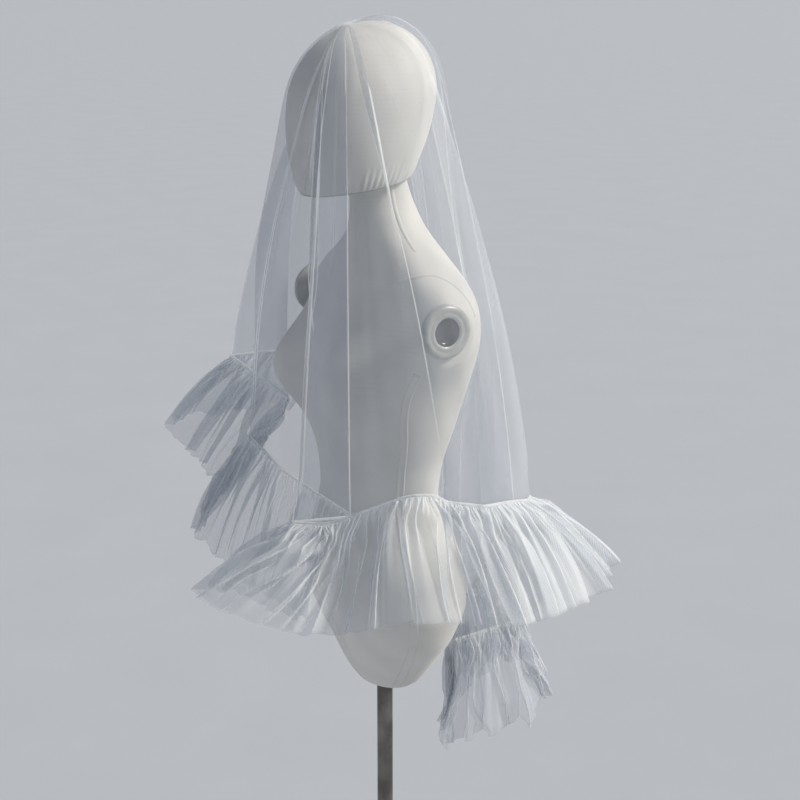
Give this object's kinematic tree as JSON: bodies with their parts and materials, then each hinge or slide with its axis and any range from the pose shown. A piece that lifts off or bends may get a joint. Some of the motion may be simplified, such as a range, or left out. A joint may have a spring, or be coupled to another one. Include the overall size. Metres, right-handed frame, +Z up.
{
  "type": "bridal veil on dress form",
  "caption": "Round drop bridal veil of sheer tulle with a wide gathered ruffle, draped all round over an egg-shaped head on a limbless dress form with pole and round base.",
  "frame": {"origin": "centre of the base plate's underside", "axes": "+Z up along the pole; the form faces -Y and its left side is +X"},
  "size_m": [0.7898, 0.6238, 1.6654],
  "materials": {
    "tulle": "sheer white net with a slight sheen",
    "ruffle_tulle": "sheer white net, gathered",
    "form_fabric": "stretched off-white jersey",
    "arm_ring_plastic": "matte off-white plastic",
    "stand_metal": "satin steel"
  },
  "bodies": {
    "root": {"form_head": "form_fabric", "form_torso": "form_fabric", "arm_ring_left": "arm_ring_plastic", "arm_ring_right": "arm_ring_plastic", "form_pole": "stand_metal", "stand_base": "stand_metal", "veil_crown": "tulle", "veil_front": "tulle", "veil_left": "tulle", "veil_back": "tulle", "veil_right": "tulle", "ruffle_1": "ruffle_tulle", "ruffle_2": "ruffle_tulle", "ruffle_3": "ruffle_tulle", "ruffle_4": "ruffle_tulle", "ruffle_5": "ruffle_tulle", "ruffle_6": "ruffle_tulle", "ruffle_7": "ruffle_tulle", "ruffle_8": "ruffle_tulle"}
  },
  "joints": []
}
